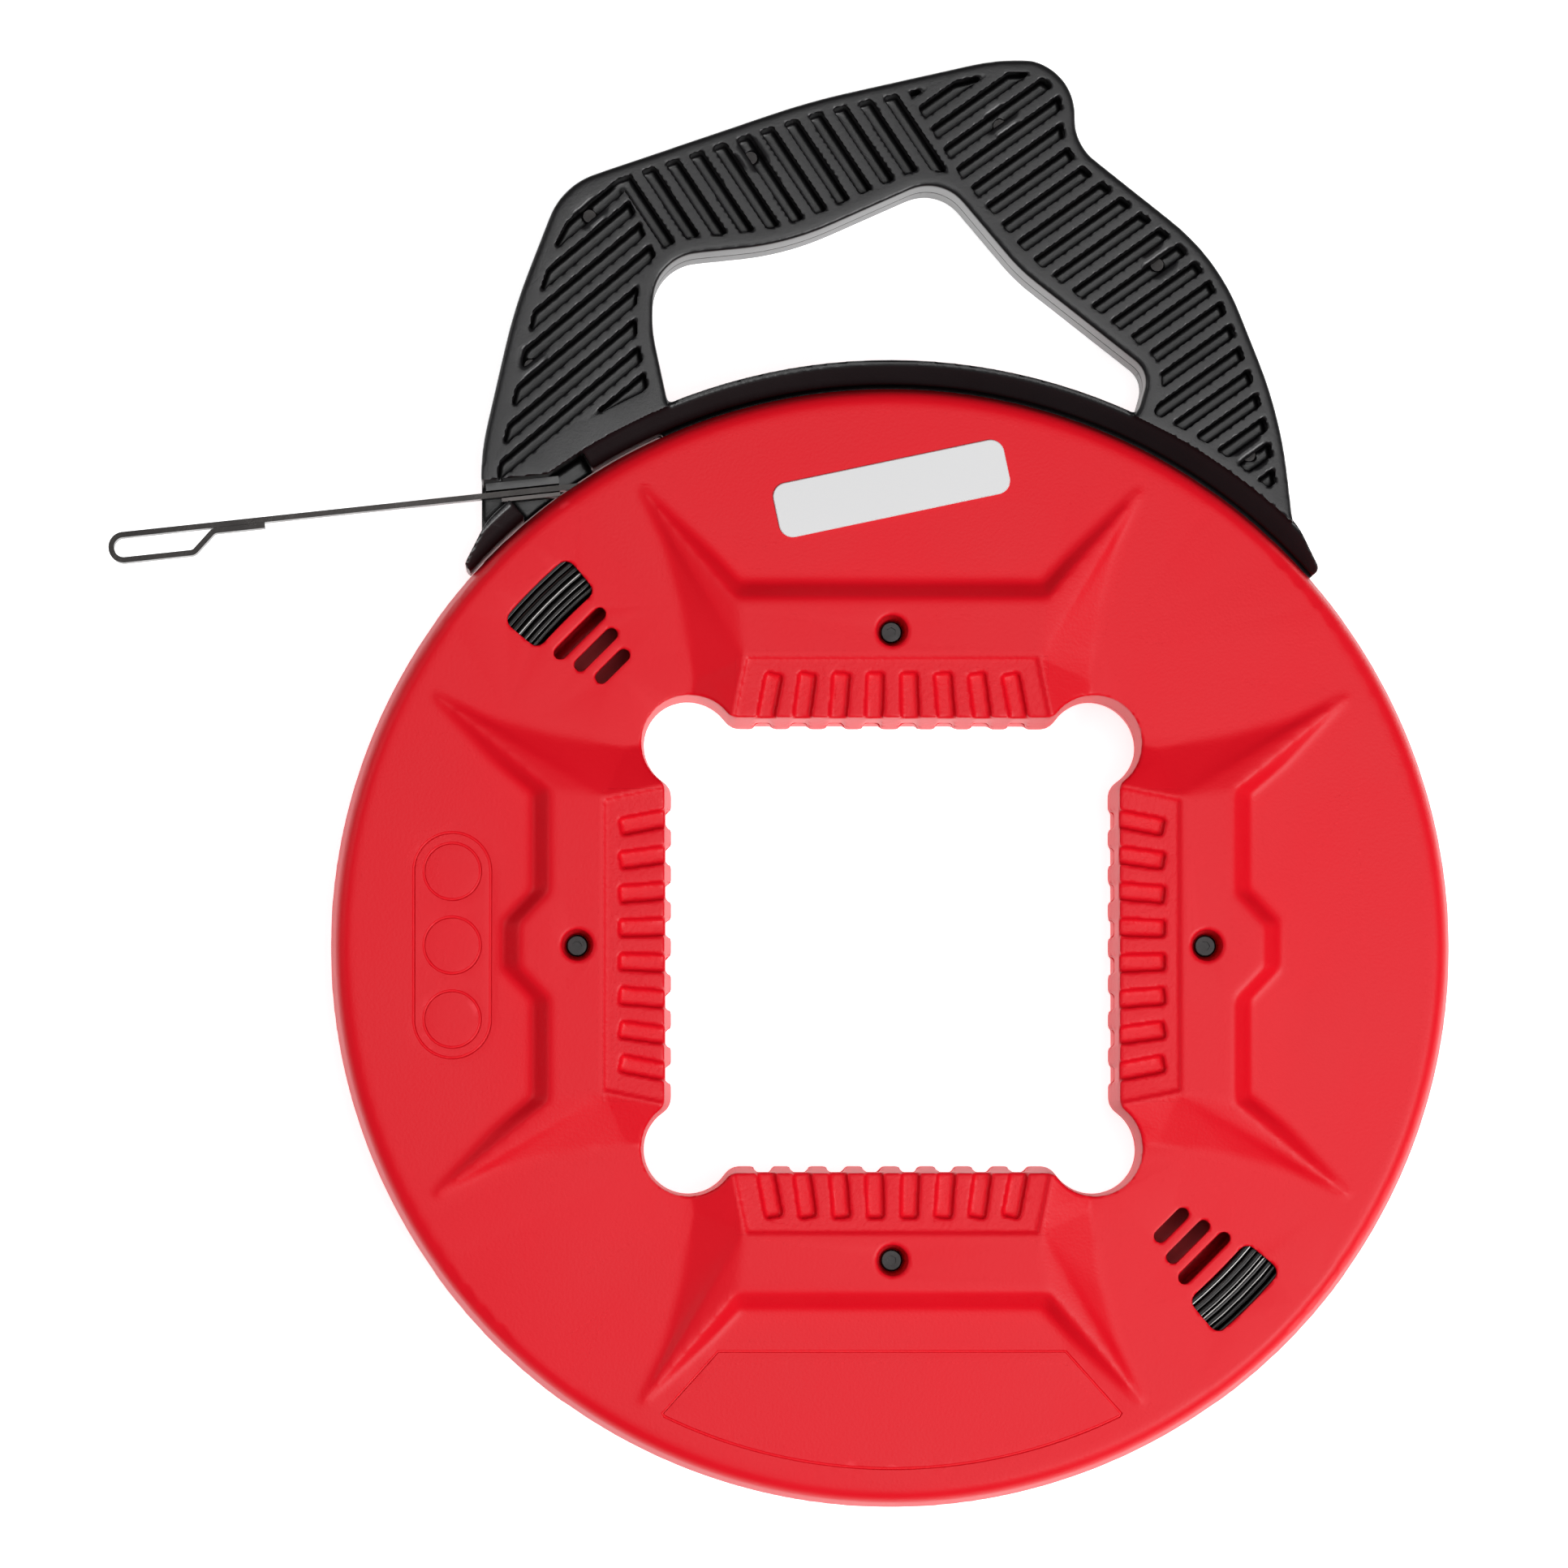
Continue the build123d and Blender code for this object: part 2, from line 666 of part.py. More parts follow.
with BuildPart() as shell_screws:
    head_top = mid - screw_depth
    with BuildSketch(shell_plane(1, head_top)):
        with PolarLocations(screw_circle, 4):
            Circle(screw_head_r)
    extrude(amount=-screw_head_h)
    fillet(shell_screws.faces().sort_by(Axis.Z)[-4:].edges(), head_round)
    with BuildSketch(shell_plane(1, head_top)):
        with PolarLocations(screw_circle, 4):
            RegularPolygon(screw_head_r * socket_size, 6)
    extrude(amount=-screw_head_h * socket_depth, mode=Mode.SUBTRACT)
    with BuildSketch(shell_plane(1, head_top - screw_head_h)):
        with PolarLocations(screw_circle, 4):
            Circle(screw_shank_r)
    extrude(amount=-screw_length)
save(shell_screws, "shell_screws")

with BuildPart() as tape_coil:
    with BuildSketch(section_plane(1)):
        with Locations(((coil_in + coil_out) / 2, 0)):
            Rectangle(coil_out - coil_in, 2 * coil_half)
        with Locations((coil_out, 0)):
            Rectangle(
                2 * (coil_out - lead_lane_r), tape_width + 2 * lead_lane_gap, mode=Mode.SUBTRACT
            )
    revolve(axis=Axis.Z)
save(tape_coil, "tape_coil")

with BuildPart() as tape_anchor_clip:
    with BuildSketch(anchor_plane.offset(chamber_wall_r + fit)):
        with Locations((0, anchor_height)):
            RectangleRounded(clip_length, clip_height, clip_round)
            Circle(clip_screw_r + fit, mode=Mode.SUBTRACT)
    extrude(amount=clip_thick)
save(tape_anchor_clip, "tape_anchor_clip")

with BuildPart() as anchor_screw:
    ring_face = sqrt((chamber_wall_r - wall) ** 2 - clip_screw_head_r**2) - fit
    with BuildSketch(anchor_plane.offset(ring_face)):
        with Locations((0, anchor_height)):
            Circle(clip_screw_head_r)
    extrude(amount=-clip_screw_head_h)
    with BuildSketch(anchor_plane.offset(ring_face)):
        with Locations((0, anchor_height)):
            Circle(clip_screw_r)
    extrude(amount=chamber_wall_r + clip_thick - ring_face)
save(anchor_screw, "anchor_screw")

with BuildPart() as blank_badge:
    with BuildSketch(shell_plane(1, face)):
        with Locations(Location((0, badge_place), badge_tilt)):
            RectangleRounded(badge_length, badge_height, badge_height / 4)
    extrude(amount=badge_thick)
    chamfer(blank_badge.faces().sort_by(Axis.Z)[-1].edges(), badge_thick / 3)
save(blank_badge, "blank_badge")

handle_front = make_handle(1)
save(handle_front, "handle_front")

handle_rear = make_handle(-1)
with handle_rear:
    head_bottom = -handle_thick / 2 + handle_screw_sink + handle_screw_head_h
    with BuildSketch(Plane.XY.offset(mid + head_bottom)) as head_seats:
        with Locations(*above_rim(handle_screw_places)):
            Circle(handle_screw_head_r + seat_gap)
    extrude(head_seats.sketch, amount=-handle_thick, mode=Mode.SUBTRACT)
    with BuildSketch(Plane.XY.offset(mid)) as shank_holes:
        with Locations(*above_rim(handle_screw_places)):
            Circle(handle_screw_r + fit)
    extrude(shank_holes.sketch, amount=-handle_thick / 2, mode=Mode.SUBTRACT)
save(handle_rear, "handle_rear")

with BuildPart() as handle_screws:
    with BuildSketch(Plane.XY.offset(mid + head_bottom)):
        with Locations(*above_rim(handle_screw_places)):
            Circle(handle_screw_head_r)
    extrude(amount=-handle_screw_head_h)
    with BuildSketch(Plane.XY.offset(mid + head_bottom - handle_screw_head_h)):
        with Locations(*above_rim(handle_screw_places)):
            RegularPolygon(handle_screw_head_r * socket_size, 6)
    extrude(amount=handle_screw_head_h * socket_depth, mode=Mode.SUBTRACT)
    with BuildSketch(Plane.XY.offset(mid + head_bottom)):
        with Locations(*above_rim(handle_screw_places)):
            Circle(handle_screw_r)
    extrude(amount=handle_thick / 2 - handle_screw_skin - head_bottom)
save(handle_screws, "handle_screws")

with BuildPart() as tape_guide:
    guide_low = -tape_thick / 2 - guide_gap
    with BuildSketch(tape_plane(-exit_floor)):
        with Locations(((guide_start + guide_end) / 2, (guide_low - exit_up) / 2)):
            Rectangle(guide_end - guide_start, exit_up + guide_low)
    extrude(amount=2 * exit_floor)
save(tape_guide, "tape_guide")

with BuildPart() as exit_wear_plate:
    plate_start = tape_thick / 2 + guide_gap
    with BuildSketch(tape_plane(-exit_floor)):
        with Locations(((guide_start + plate_end) / 2, plate_start + plate_thick / 2)):
            Rectangle(plate_end - guide_start, plate_thick)
    extrude(amount=2 * exit_floor)
save(exit_wear_plate, "exit_wear_plate")

with BuildPart() as tape_lead:
    loop = eye_height - tape_thick
    with BuildSketch(tape_plane(0)):
        with BuildLine() as route:
            FilletPolyline(
                (-lead_in, 0),
                (lead_out - tape_thick / 2, 0),
                (lead_out - tape_thick / 2, loop),
                (lead_out - eye_length + eye_tail + eye_ramp, loop),
                (lead_out - eye_length + eye_tail, tape_thick + fit),
                (lead_out - eye_length, tape_thick + fit),
                radius=(loop / 2 - fit, loop / 2 - fit, tape_thick * 1.5, tape_thick * 1.5),
            )
        trace(line_width=tape_thick)
    extrude(amount=tape_width / 2, both=True)
save(tape_lead, "tape_lead")
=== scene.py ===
# %% [markdown]
# A fish tape reel, finished in Blender.
# The reel's CAD model arrives as a fixed frame: two red shells, a black handle
# in two halves, a wound steel tape and its screws. This script gives each piece
# its moulded or rolled surface, winds the tape lap by lap, and lights the whole.

# %% The frame, and helpers that every cell uses
from math import atan2, cos, hypot, pi, radians, sin

import bmesh
import bpy
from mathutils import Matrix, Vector
from mathutils.kdtree import KDTree
from random import Random


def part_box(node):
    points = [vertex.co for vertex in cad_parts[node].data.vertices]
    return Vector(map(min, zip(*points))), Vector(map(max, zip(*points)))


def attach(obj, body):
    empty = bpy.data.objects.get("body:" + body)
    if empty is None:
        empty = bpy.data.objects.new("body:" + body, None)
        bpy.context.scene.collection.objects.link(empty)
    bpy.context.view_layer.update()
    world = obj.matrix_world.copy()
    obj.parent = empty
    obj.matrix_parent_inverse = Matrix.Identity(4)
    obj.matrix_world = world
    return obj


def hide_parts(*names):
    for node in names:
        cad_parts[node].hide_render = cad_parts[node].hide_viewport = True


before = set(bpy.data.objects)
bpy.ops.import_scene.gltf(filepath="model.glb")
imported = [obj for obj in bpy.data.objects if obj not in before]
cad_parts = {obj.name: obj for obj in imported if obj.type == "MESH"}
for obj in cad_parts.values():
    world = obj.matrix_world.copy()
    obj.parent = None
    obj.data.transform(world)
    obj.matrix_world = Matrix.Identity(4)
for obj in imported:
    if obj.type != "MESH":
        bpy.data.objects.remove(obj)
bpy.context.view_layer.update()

MM = 0.001
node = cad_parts
shell_low, shell_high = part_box("front_shell")
rear_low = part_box("rear_shell")[0]
grip_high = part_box("handle_front")[1]
reel_r = shell_high.x
mid = shell_low.z


def deselect():
    """Leaves edit mode and selects nothing, so the next operator acts alone."""
    if bpy.context.object and bpy.context.object.mode != "OBJECT":
        bpy.ops.object.mode_set(mode="OBJECT")
    bpy.ops.object.select_all(action="DESELECT")


def pick(piece):
    """Selects one object and makes it active."""
    deselect()
    piece.select_set(True)
    bpy.context.view_layer.objects.active = piece
    return piece


def apply_modifier(piece, name, kind, **settings):
    """Adds one modifier with its settings and applies it at once."""
    pick(piece)
    modifier = piece.modifiers.new(name, kind)
    for key, value in settings.items():
        setattr(modifier, key, value)
    bpy.ops.object.modifier_apply(modifier=name)


def settle(piece):
    """Puts an object's place, turn and size into its mesh."""
    pick(piece)
    bpy.ops.object.transform_apply(location=True, rotation=True, scale=True)
    return piece


deselect()

# %% [markdown]
# The camera looks straight down on the reel as it lies on its back. It stands
# far off with a long lens, so there is almost no perspective. It hangs a little
# over the lower left and is tilted back by under three degrees, so one sees more
# of the opening's right and upper walls than of the others.

# %% Camera
view_centre = Vector((-28.8 * MM, 44.6 * MM, 0))
view_width = 427.4 * MM
camera_height = 2.8
camera_place = Vector((-86 * MM, -80 * MM, 0))
bpy.ops.object.camera_add(location=(camera_place.x, camera_place.y, mid + camera_height))
camera = bpy.context.object
camera.name = "camera"
camera.data.sensor_width = 36
camera.data.lens = 36 * camera_height / view_width
aim = view_centre - camera_place
camera.rotation_euler = (atan2(aim.y, camera_height), -atan2(aim.x, camera_height), 0)
camera.data.clip_end = 20
bpy.context.scene.camera = camera
print("lens", round(camera.data.lens, 1))

# %% [markdown]
# A studio table and soft light. The main panel stands high at the lower right, so
# the slopes that face the upper left stay a deep, saturated red. A weaker one
# overhead gives the flat faces a faint sheen, and a third opens the left side.
# The pale table bounces light back up under the rim.

# %% Floor, lights and world
bpy.ops.mesh.primitive_plane_add(size=8, location=(0, 0, rear_low.z - 0.2 * MM))
floor = bpy.context.object
floor.name = "studio_floor"
floor_paint = bpy.data.materials.new("floor_paint")
floor_paint.use_nodes = True
floor_shader = floor_paint.node_tree.nodes["Principled BSDF"]
floor_shader.inputs["Base Color"].default_value = (0.9, 0.9, 0.9, 1)
floor_shader.inputs["Roughness"].default_value = 0.9
floor_shader.inputs["Specular IOR Level"].default_value = 0.1
floor_shader.inputs["Emission Color"].default_value = (1, 1, 1, 1)
floor_shader.inputs["Emission Strength"].default_value = 0.8
floor.data.materials.append(floor_paint)


def soft_light(name, place, aim, size, power):
    """An area light that faces a point."""
    bpy.ops.object.light_add(type="AREA", location=place)
    lamp = bpy.context.object
    lamp.name = name
    lamp.data.size = size
    lamp.data.energy = power
    lamp.rotation_mode = "QUATERNION"
    lamp.rotation_quaternion = (Vector(aim) - Vector(place)).to_track_quat("-Z", "Y")
    return lamp


soft_light("key_panel", (1.0, -0.75, 1.9), (0, 0, 0), 0.9, 42)
soft_light("overhead", (0.1, 0.1, 2.6), (0, 0, 0), 0.7, 13)
soft_light("left_side", (-1.5, 0.5, 1.0), (0, 0, 0), 0.6, 4)
world = bpy.data.worlds.new("studio")
bpy.context.scene.world = world
world.use_nodes = True
world.node_tree.nodes["Background"].inputs["Color"].default_value = (1, 1, 1, 1)
world.node_tree.nodes["Background"].inputs["Strength"].default_value = 0.1
bpy.context.scene.view_settings.view_transform = "Standard"

# %% [markdown]
# Every finish starts from one shader. Its grain is a fine noise pushed into a
# bump, as a spark-eroded mould leaves on plastic, and a broad faint noise moves
# the colour and the roughness, so that no surface is one flat value. Two finishes
# go further: the red one is coarser on the four grip blocks, and the tape's colour
# is drawn out into fine rings, a few of them bright as painted highlights.

# %% Material helper


def add_noise(tree, source, scale, detail=3.0):
    """A noise texture that reads one coordinate output."""
    noise = tree.nodes.new("ShaderNodeTexNoise")
    noise.inputs["Scale"].default_value = scale
    noise.inputs["Detail"].default_value = detail
    tree.links.new(source, noise.inputs["Vector"])
    return noise.outputs["Fac"]


def add_math(tree, operation, first, second=None):
    """A math node; each input is a socket or a number."""
    step = tree.nodes.new("ShaderNodeMath")
    step.operation = operation
    for socket, value in zip(step.inputs, (first, second)):
        if isinstance(value, (int, float)):
            socket.default_value = value
        elif value is not None:
            tree.links.new(value, socket)
    return step.outputs["Value"]


def finish(name, dark, light, roughness, sway=0.06, specular=0.5, metallic=0.0,
           grain=0.0, grain_scale=1500.0, cloud_scale=30.0, wear=None):
    """A procedural finish on Object coordinates. Colour drifts from dark to light
    and roughness by sway; grain is the bump's height in millimetres, and wear is
    the colour that rubbed edges turn to."""
    paint = bpy.data.materials.new(name)
    paint.use_nodes = True
    tree = paint.node_tree
    shader = tree.nodes["Principled BSDF"]
    shader.inputs["Metallic"].default_value = metallic
    shader.inputs["Specular IOR Level"].default_value = specular
    place = tree.nodes.new("ShaderNodeTexCoord").outputs["Object"]
    cloud = add_noise(tree, place, cloud_scale, 5.0)
    rough = tree.nodes.new("ShaderNodeMapRange")
    rough.inputs["To Min"].default_value = roughness - sway
    rough.inputs["To Max"].default_value = roughness + sway
    tree.links.new(cloud, rough.inputs["Value"])
    tree.links.new(rough.outputs["Result"], shader.inputs["Roughness"])
    blend = tree.nodes.new("ShaderNodeMix")
    blend.data_type = "RGBA"
    blend.inputs[6].default_value = (*dark, 1)
    blend.inputs[7].default_value = (*light, 1)
    tree.links.new(cloud, blend.inputs[0])
    colour = blend.outputs[2]
    if wear:
        edge = tree.nodes.new("ShaderNodeNewGeometry").outputs["Pointiness"]
        ramp = tree.nodes.new("ShaderNodeMapRange")
        ramp.inputs["From Min"].default_value = 0.53
        ramp.inputs["From Max"].default_value = 0.62
        tree.links.new(edge, ramp.inputs["Value"])
        rubbed = tree.nodes.new("ShaderNodeMix")
        rubbed.data_type = "RGBA"
        rubbed.inputs[7].default_value = (*wear, 1)
        patchy = add_math(tree, "MULTIPLY", ramp.outputs["Result"], add_noise(tree, place, 90.0))
        tree.links.new(patchy, rubbed.inputs[0])
        tree.links.new(colour, rubbed.inputs[6])
        colour = rubbed.outputs[2]
    tree.links.new(colour, shader.inputs["Base Color"])
    if grain:
        bump = tree.nodes.new("ShaderNodeBump")
        bump.name = "grain"
        bump.inputs["Strength"].default_value = 1.0
        bump.inputs["Distance"].default_value = grain * MM
        tree.links.new(add_noise(tree, place, grain_scale, 2.0), bump.inputs["Height"])
        tree.links.new(bump.outputs["Normal"], shader.inputs["Normal"])
    return paint


def dress(piece, paint):
    """Gives a piece one finish."""
    piece.data.materials.clear()
    piece.data.materials.append(paint)


# %% The finishes
red_plastic = finish("red_plastic", (0.70, 0.002, 0.010), (0.76, 0.004, 0.015), 0.44,
                     specular=0.22, grain=0.04, grain_scale=1300, wear=(0.84, 0.03, 0.045))
black_plastic = finish("black_plastic", (0.005, 0.0046, 0.0052), (0.009, 0.0084, 0.0094), 0.36,
                       specular=0.42, grain=0.03, grain_scale=1700, wear=(0.02, 0.019, 0.021))
slick_plastic = finish("guide_plastic", (0.006, 0.006, 0.0065), (0.011, 0.011, 0.012), 0.3)
black_oxide = finish("black_oxide", (0.006, 0.0055, 0.0055), (0.014, 0.012, 0.012), 0.3, sway=0.1,
                     metallic=0.7, grain=0.02, grain_scale=900, cloud_scale=140, wear=(0.03, 0.027, 0.025))
lap_steel = finish("lap_steel", (0.006, 0.0055, 0.0055), (0.03, 0.027, 0.026), 0.26, sway=0.08,
                   metallic=0.8, cloud_scale=60)
bright_steel = finish("bright_steel", (0.06, 0.055, 0.055), (0.12, 0.11, 0.105), 0.38, sway=0.08,
                      metallic=1.0, grain=0.02, grain_scale=900, cloud_scale=140)
block_reach = 78.3 * MM
block_share = 0.54       # half the width of a block, as a share of its reach


def roughen_blocks(paint):
    """Adds a coarse grain inside the square that the four grip blocks reach to."""
    tree = paint.node_tree
    place = tree.nodes.new("ShaderNodeTexCoord").outputs["Object"]
    split = tree.nodes.new("ShaderNodeSeparateXYZ")
    tree.links.new(place, split.inputs[0])
    across = add_math(tree, "ABSOLUTE", split.outputs["X"])
    along = add_math(tree, "ABSOLUTE", split.outputs["Y"])
    near = add_math(tree, "LESS_THAN", add_math(tree, "MAXIMUM", across, along), block_reach)
    side = add_math(tree, "LESS_THAN", add_math(tree, "MINIMUM", across, along), block_share * block_reach)
    coarse = add_math(tree, "MULTIPLY", add_noise(tree, place, 750.0, 2.0), 2.5)
    coarse = add_math(tree, "MULTIPLY", coarse, add_math(tree, "MULTIPLY", near, side))
    bump = tree.nodes["grain"]
    fine = bump.inputs["Height"].links[0].from_socket
    tree.links.new(add_math(tree, "ADD", fine, coarse), bump.inputs["Height"])


def paint_lap_highlights(paint):
    """Turns the tape's tone into fine rings: mostly black, with painted highlights that make a few laps
    bright.
    """
    tree = paint.node_tree
    shader = tree.nodes["Principled BSDF"]
    place = tree.nodes.new("ShaderNodeTexCoord").outputs["Object"]
    flat = tree.nodes.new("ShaderNodeVectorMath")
    flat.operation = "MULTIPLY"
    flat.inputs[1].default_value = (1, 1, 0)
    tree.links.new(place, flat.inputs[0])
    span = tree.nodes.new("ShaderNodeVectorMath")
    span.operation = "LENGTH"
    tree.links.new(flat.outputs["Vector"], span.inputs[0])
    rings = tree.nodes.new("ShaderNodeTexNoise")
    rings.noise_dimensions = "1D"
    rings.inputs["Scale"].default_value = 1500.0
    rings.inputs["Detail"].default_value = 4.0
    tree.links.new(span.outputs["Value"], rings.inputs["W"])
    ramp = tree.nodes.new("ShaderNodeMapRange")
    ramp.inputs["From Min"].default_value = 0.55
    ramp.inputs["From Max"].default_value = 0.85
    tree.links.new(rings.outputs["Fac"], ramp.inputs["Value"])
    blend = tree.nodes.new("ShaderNodeMix")
    blend.data_type = "RGBA"
    blend.inputs[6].default_value = (0.004, 0.0036, 0.0036, 1)
    # painted highlight: this bright colour on a few laps stands in for light catching their edges
    blend.inputs[7].default_value = (0.30, 0.29, 0.28, 1)
    tree.links.new(ramp.outputs["Result"], blend.inputs[0])
    tree.links.new(blend.outputs[2], shader.inputs["Base Color"])


roughen_blocks(red_plastic)
paint_lap_highlights(lap_steel)
badge_white = finish("badge_white", (0.66, 0.66, 0.665), (0.70, 0.70, 0.705), 0.35, grain=0.01)
print("finishes", len(bpy.data.materials))

# %% [markdown]
# A moulded skin. An injection mould has no knife-sharp edge: each corner is
# rounded by half a millimetre or more, and that is what catches the light. The
# CAD solid has sharp corners, so its mesh is copied, its loose triangles are
# merged, and a voxel remesh, a little smoothing and a decimation turn it into a
# soft-edged skin of the same size. Bevelling every edge by hand would do the
# same for a simple part, but here hundreds of slopes run into each other.

# %% Skin helper
screw_head_r = 3 * MM
screw_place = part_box("shell_screws")[1].x - screw_head_r
crisp_angle = radians(48)


def merged_copy(name, source):
    """A copy of a CAD node's mesh with its loose triangles merged into one body."""
    skin = bpy.data.objects.new(name, node[source].data.copy())
    bpy.context.collection.objects.link(skin)
    pick(skin)
    bpy.ops.object.mode_set(mode="EDIT")
    bpy.ops.mesh.select_all(action="SELECT")
    bpy.ops.mesh.remove_doubles(threshold=0.001 * MM)
    deselect()
    return skin


screw_clear = 6.5 * MM
block_clear = 1.5 * MM
window_share = 0.72      # the windows lie on the diagonals, beyond this share


def broad_faces(skin):
    """Vertices on a shell's pads, steps and plain face, but not by its screws, blocks
    or windows."""
    chosen = []
    for vert in skin.data.vertices:
        reach = max(abs(vert.co.x), abs(vert.co.y))
        side = min(abs(vert.co.x), abs(vert.co.y))
        off_screw = hypot(reach - screw_place, side) > screw_clear
        if reach > block_reach + block_clear and side < window_share * reach and off_screw:
            chosen.append(vert.index)
    return chosen


def mould(skin, voxel, rounds, most, soft_part, soft_rounds, cutter=None):
    """Rounds every edge of a closed mesh and thins it to at most so many triangles.
    The vertices that soft_part names take extra rounds of smoothing first. A cutter is
    taken out of the thinned mesh."""
    size = voxel * 1 * MM
    apply_modifier(skin, "voxels", "REMESH", mode="VOXEL", voxel_size=size)
    group = skin.vertex_groups.new(name="soft")
    group.add(soft_part(skin), 1.0, "REPLACE")
    apply_modifier(skin, "relax", "SMOOTH", factor=0.5, iterations=soft_rounds, vertex_group="soft")
    skin.vertex_groups.clear()
    apply_modifier(skin, "soften", "SMOOTH", factor=0.5, iterations=rounds)
    share = most / (2 * len(skin.data.polygons))
    if share < 1:
        apply_modifier(skin, "thin", "DECIMATE", ratio=share)
    if cutter:
        apply_modifier(skin, "lines", "BOOLEAN", object=cutter, operation="DIFFERENCE", solver="EXACT")
    pick(skin)
    bpy.ops.object.shade_smooth_by_angle(angle=crisp_angle)
    skin.data.materials.clear()
    print(skin.name, "faces", len(skin.data.polygons))
    return skin


# %% [markdown]
# The moulding carries fine sunk lines: a long rounded frame with three rings on
# the left, and the border of a blank panel at the bottom. They are narrower than
# a voxel, so they are cut after the remesh. Each line is a thin tube that lies
# half in the surface, and one boolean cuts them all.

# %% Sunk lines
line_r = 0.42 * MM
pad_rise = 4.5 * MM
face_z = shell_high.z - pad_rise
mark_x, mark_reach, mark_half = -119 * MM, 30.5 * MM, 10.4 * MM
ring_r, ring_pitch = 7.65 * MM, 20 * MM
panel_top, panel_half = -109.8 * MM, 47 * MM
panel_side = Vector((62 * MM, -126.5 * MM))
panel_r = 141.4 * MM


def ring_tube(place, radius, name):
    """A thin tube bent to a ring that lies in the shell's face."""
    bpy.ops.mesh.primitive_torus_add(major_radius=radius, minor_radius=line_r, major_segments=72,
                                     minor_segments=10, location=(*place, face_z))
    bpy.context.object.name = name
    return settle(bpy.context.object)


def stretch_ring(tube, half_length):
    """Pulls a ring's two halves apart along Y, so it becomes a long frame."""
    pick(tube)
    bpy.ops.object.mode_set(mode="EDIT")
    for hand in (1, -1):
        bpy.ops.mesh.select_all(action="DESELECT")
        mesh = bmesh.from_edit_mesh(tube.data)
        for vert in mesh.verts:
            vert.select = vert.co.y * hand > 0
        mesh.select_flush_mode()
        bmesh.update_edit_mesh(tube.data)
        bpy.ops.transform.translate(value=(0, hand * half_length, 0))
    deselect()


def border_tube(points, name):
    """A thin tube along a closed line in the shell's face."""
    line = bpy.data.curves.new(name, "CURVE")
    line.dimensions = "3D"
    line.bevel_depth = line_r
    line.bevel_resolution = 3
    spline = line.splines.new("POLY")
    spline.points.add(len(points) - 1)
    for target, place in zip(spline.points, points):
        target.co = (*place, face_z, 1)
    spline.use_cyclic_u = True
    tube = bpy.data.objects.new(name, line)
    bpy.context.collection.objects.link(tube)
    pick(tube)
    bpy.ops.object.convert(target="MESH")
    return bpy.context.object


frame_tube = ring_tube((mark_x, 0.01 * MM), mark_half, "frame_tube")
stretch_ring(frame_tube, mark_reach - mark_half)
tubes = [frame_tube]
for row in (-1, 0, 1):
    tubes.append(ring_tube((mark_x, row * ring_pitch), ring_r, "ring_tube"))
arc_half, arc_steps = 61.5 * MM, 40
swing = atan2(-(panel_r ** 2 - arc_half ** 2) ** 0.5, arc_half)
arc = [
    Vector((panel_r * cos(turn), panel_r * sin(turn)))
    for turn in [swing + (-pi - 2 * swing) * step / arc_steps for step in range(arc_steps + 1)]
]
border = [Vector((-panel_half, panel_top)), Vector((panel_half, panel_top)), panel_side, *arc,
          Vector((-panel_side.x, panel_side.y))]
tubes.append(border_tube(border, "panel_tube"))
deselect()
for tube in tubes:
    tube.select_set(True)
bpy.context.view_layer.objects.active = tubes[0]
bpy.ops.object.join()
line_cutter = bpy.context.object
print("sunk lines", len(tubes))

# %% Shell skins
front_skin = mould(merged_copy("front_shell_skin", "front_shell"), 0.6, 2, 185000,
                   broad_faces, 24, line_cutter)
rear_skin = mould(merged_copy("rear_shell_skin", "rear_shell"), 0.75, 2, 150000,
                  broad_faces, 10)
for skin, source in ((front_skin, "front_shell"), (rear_skin, "rear_shell")):
    dress(skin, red_plastic)
    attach(skin, "reel")
    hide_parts(source)
bpy.data.objects.remove(line_cutter)

# %% [markdown]
# The handle's outer edges are rounded much more than its ribs, because a hand
# closes over them. They are found by looking just below the ribs, where the only
# walls are the outer ones: every vertex near the grip's face and close above such
# a wall is smoothed many times.

# %% Handle skins
grip_round = 3.0 * MM
grip_depth = 5 * MM
wall_low, wall_high = 1 * MM, 3 * MM     # heights from the middle plane, below the ribs
foot_r = reel_r + 9 * MM
exit_top = 133 * MM


def is_gripped(place):
    """True on the grip itself, not on its foot on the saddle or by the tape's exit."""
    return hypot(place.x, place.y) > foot_r and (place.x > 0 or place.y > exit_top)


def grip_edges(skin):
    """Vertices along the grip's long edges."""
    verts = skin.data.vertices
    depths = [abs(vert.co.z - mid) for vert in verts]
    wall = [
        vert.co for vert, depth in zip(verts, depths)
        if wall_low < depth < wall_high and abs(vert.normal.z) < 0.3 and is_gripped(vert.co)
    ]
    tree = KDTree(len(wall))
    for index, place in enumerate(wall):
        tree.insert((place.x, place.y, 0), index)
    tree.balance()
    return [
        vert.index for vert, depth in zip(verts, depths)
        if depth > handle_half - grip_depth and tree.find((vert.co.x, vert.co.y, 0))[2] < grip_round
    ]


handle_half = grip_high.z - mid
handle_front_skin = mould(merged_copy("handle_front_skin", "handle_front"), 0.5, 2, 190000,
                          grip_edges, 30)
handle_rear_skin = mould(merged_copy("handle_rear_skin", "handle_rear"), 0.65, 2, 150000,
                         grip_edges, 20)
for skin, source in ((handle_front_skin, "handle_front"), (handle_rear_skin, "handle_rear")):
    dress(skin, black_plastic)
    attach(skin, "handle")
    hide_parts(source)

# %% [markdown]
# The tape is a flat spring-steel strip that stands on edge, wound round the
# chamber's wall in five lanes side by side. Through the windows one sees the
# edges of its laps as fine dark lines with slivers of light between them, and a
# plain solid can't show that. So each lap is a real strip: a circle, extruded to
# the strip's width and given its thickness, copied from lap to lap with a small
# looseness. The middle lane is wound lower, because the lead has left it.

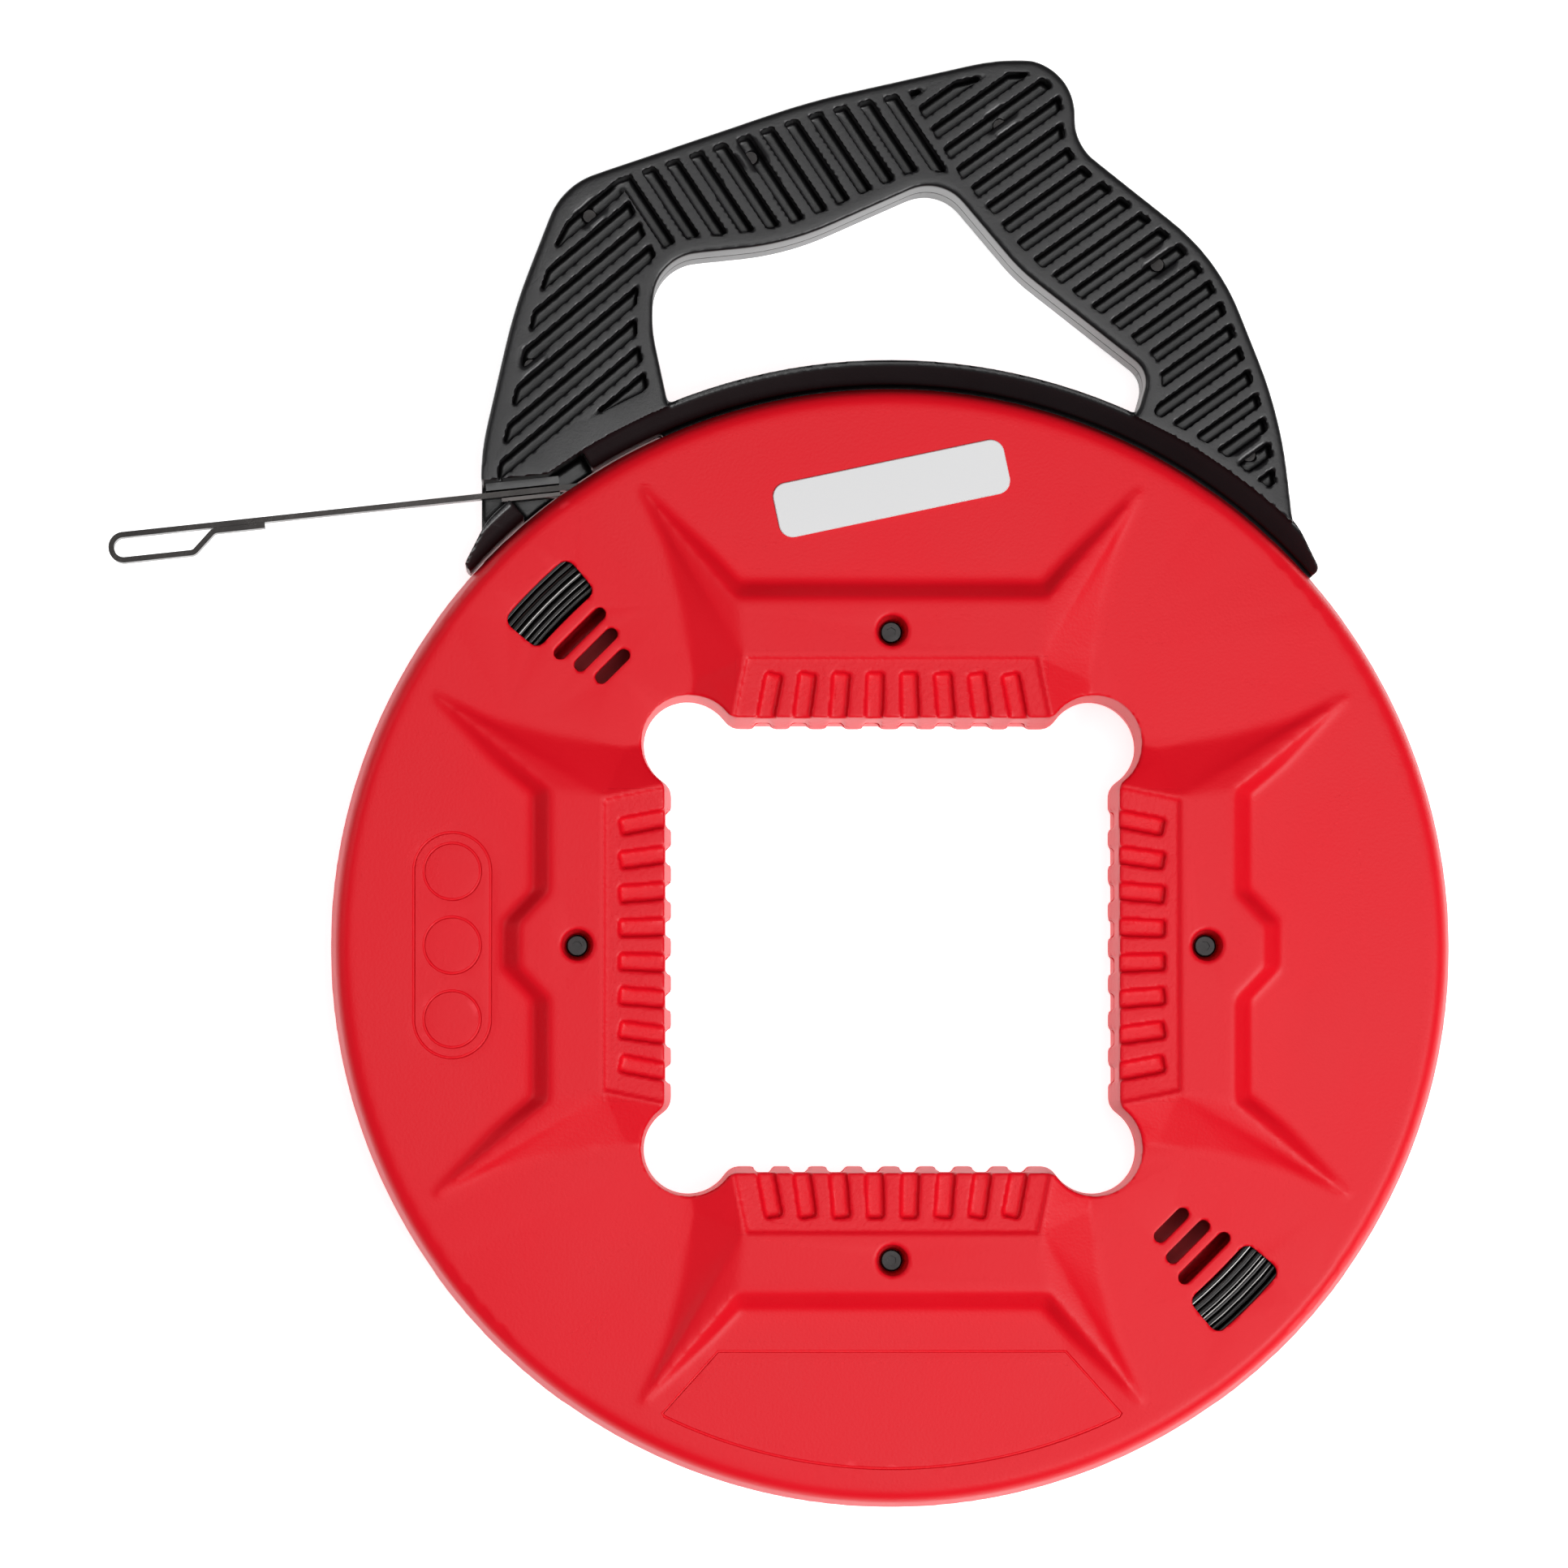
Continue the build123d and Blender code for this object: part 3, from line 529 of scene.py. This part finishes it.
# %% Tape laps
tape_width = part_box("tape_lead")[1].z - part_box("tape_lead")[0].z
tape_thick = 1.5 * MM
coil_low, coil_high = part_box("tape_coil")
lane_count = round((coil_high.z - coil_low.z) / tape_width)
lap_in, lap_out = 125.6 * MM, coil_high.x
middle_lane_out = 132.8 * MM
lap_pitch = 1.8 * MM
lap_sides = 120
lap_drift = 0.12 * MM
loose = Random(7)


def tape_lap(radius, height):
    """One lap of tape on edge: a ring strip with eased edges."""
    bpy.ops.mesh.primitive_circle_add(vertices=lap_sides, radius=radius, location=(0, 0, height))
    lap = bpy.context.object
    bpy.ops.object.mode_set(mode="EDIT")
    bpy.ops.mesh.select_all(action="SELECT")
    bpy.ops.mesh.extrude_region_move(TRANSFORM_OT_translate={"value": (0, 0, tape_width - 0.1 * MM)})
    deselect()
    apply_modifier(lap, "gauge", "SOLIDIFY", thickness=tape_thick - 0.05 * MM, offset=0)
    apply_modifier(lap, "edges", "BEVEL", width=0.25 * MM, segments=2, angle_limit=radians(40))
    drift = Vector((loose.uniform(-1, 1), loose.uniform(-1, 1), 0)) * lap_drift
    lap.location = drift + Vector((0, 0, height))
    return settle(lap)


laps = []
wound = 0.0
for lane in range(lane_count):
    top = middle_lane_out if lane == lane_count // 2 else lap_out
    radius = lap_in + tape_thick / 2 + 0.2 * MM
    while radius + tape_thick / 2 < top + 0.1 * MM:
        laps.append(tape_lap(radius, coil_low.z + lane * tape_width + 0.05 * MM))
        wound += 2 * pi * radius
        radius += lap_pitch
deselect()
for lap in laps:
    lap.select_set(True)
bpy.context.view_layer.objects.active = laps[0]
bpy.ops.object.join()
coil = bpy.context.object
coil.name = "wound_tape"
pick(coil)
bpy.ops.object.mode_set(mode="EDIT")
bpy.ops.mesh.select_all(action="SELECT")
bpy.ops.mesh.normals_make_consistent(inside=False)
deselect()
pick(coil)
bpy.ops.object.shade_smooth_by_angle(angle=radians(35))
dress(coil, lap_steel)
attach(coil, "reel")
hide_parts("tape_coil")
print("laps", len(laps), "wound length", round(wound, 2), "m")

# %% [markdown]
# The small metal and plastic pieces keep their CAD shapes, which are right, and
# only take a finish.

# %% Finishes for the carried pieces
for name in ("shell_screws", "handle_screws", "tape_lead"):
    dress(node[name], black_oxide)
for name in ("tape_anchor_clip", "anchor_screw", "exit_wear_plate"):
    dress(node[name], bright_steel)
dress(node["tape_guide"], slick_plastic)
dress(node["blank_badge"], badge_white)
